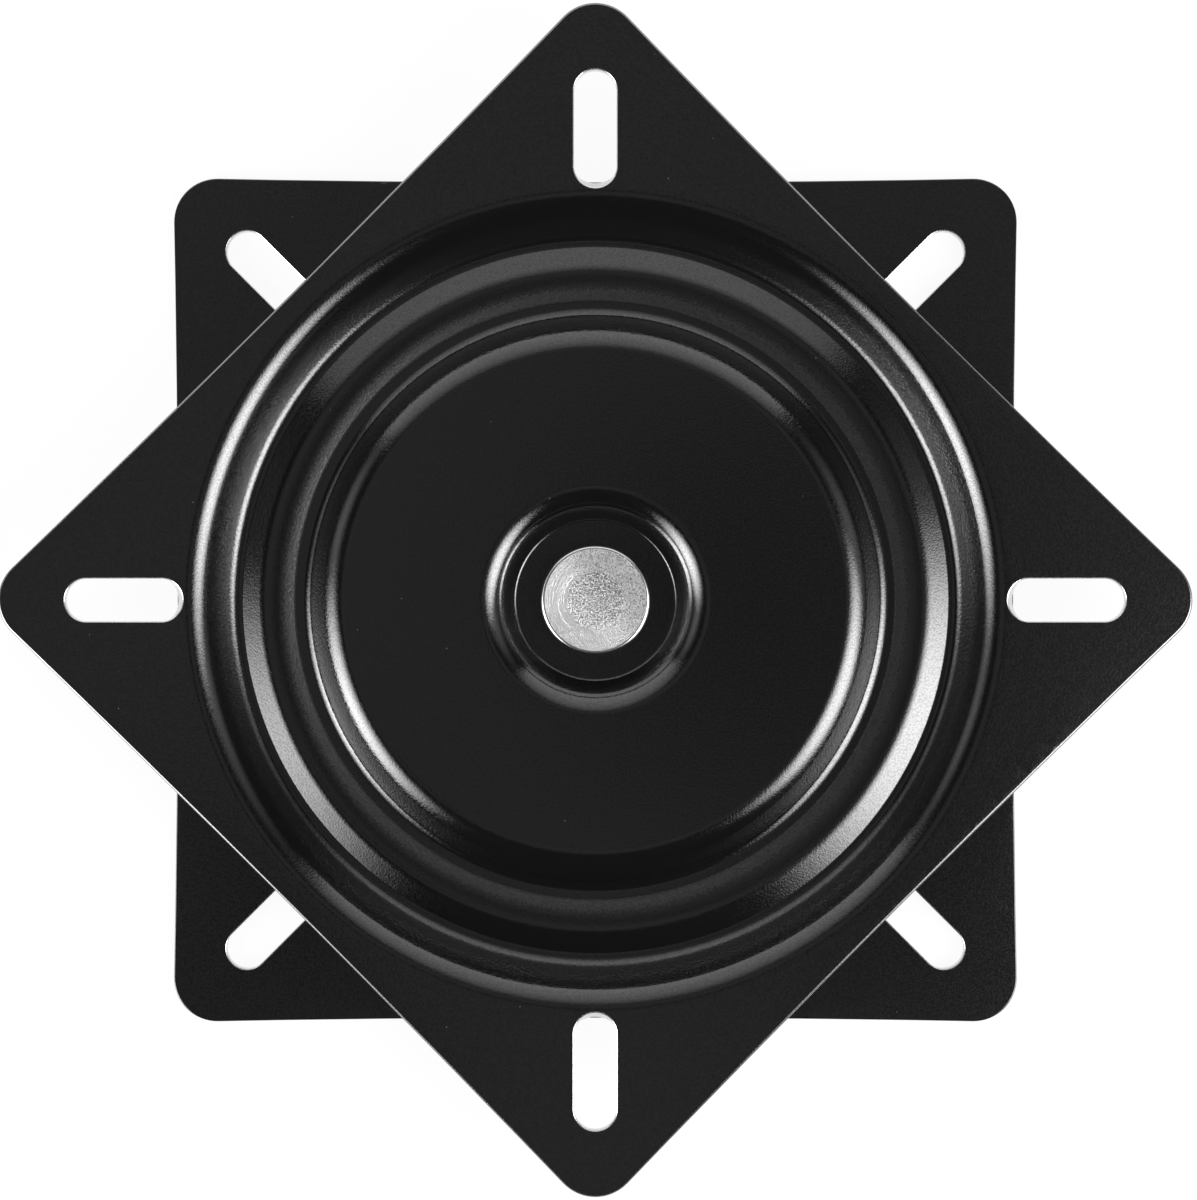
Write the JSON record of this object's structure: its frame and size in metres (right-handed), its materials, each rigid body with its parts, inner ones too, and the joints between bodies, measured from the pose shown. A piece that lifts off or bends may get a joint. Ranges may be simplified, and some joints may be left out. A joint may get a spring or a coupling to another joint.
{
  "type": "seat swivel plate bearing",
  "caption": "Square seat swivel: two pressed steel plates with slotted corners turn on a caged ball race and are held by a central king rivet.",
  "frame": {"origin": "middle of the lower plate's mounting face, on the swivel axis", "axes": "+Z along the swivel axis, from the base to the seat; X and Y along the lower plate's sides, and through the upper plate's slots at rest"},
  "size_m": [0.2436, 0.2436, 0.022],
  "materials": {
    "black_paint": "gloss",
    "zinc_steel": "satin",
    "ball_steel": "polished",
    "cage_nylon": "matte"
  },
  "bodies": {
    "lower": {"lower_plate": "black_paint"},
    "upper": {"upper_plate": "black_paint", "king_rivet": "zinc_steel", "thrust_washer": "zinc_steel"},
    "ball_ring": {"ball_cage": "cage_nylon", "ball_01": "ball_steel", "ball_02": "ball_steel", "ball_03": "ball_steel", "ball_04": "ball_steel", "ball_05": "ball_steel", "ball_06": "ball_steel", "ball_07": "ball_steel", "ball_08": "ball_steel", "ball_09": "ball_steel", "ball_10": "ball_steel", "ball_11": "ball_steel", "ball_12": "ball_steel", "ball_13": "ball_steel", "ball_14": "ball_steel", "ball_15": "ball_steel", "ball_16": "ball_steel", "ball_17": "ball_steel", "ball_18": "ball_steel", "ball_19": "ball_steel", "ball_20": "ball_steel", "ball_21": "ball_steel", "ball_22": "ball_steel", "ball_23": "ball_steel", "ball_24": "ball_steel"}
  },
  "joints": [
    {"name": "swivel", "type": "hinge", "parent": "lower", "child": "upper", "pos_m": [0, 0, 0.011], "axis": [0, 0, 1], "continuous": true},
    {"name": "ball_ring_turn", "type": "hinge", "parent": "lower", "child": "ball_ring", "pos_m": [0, 0, 0.011], "axis": [0, 0, 1], "continuous": true}
  ],
  "couplings": [
    {"joint": "ball_ring_turn", "follows": "swivel", "ratio": 0.5}
  ]
}
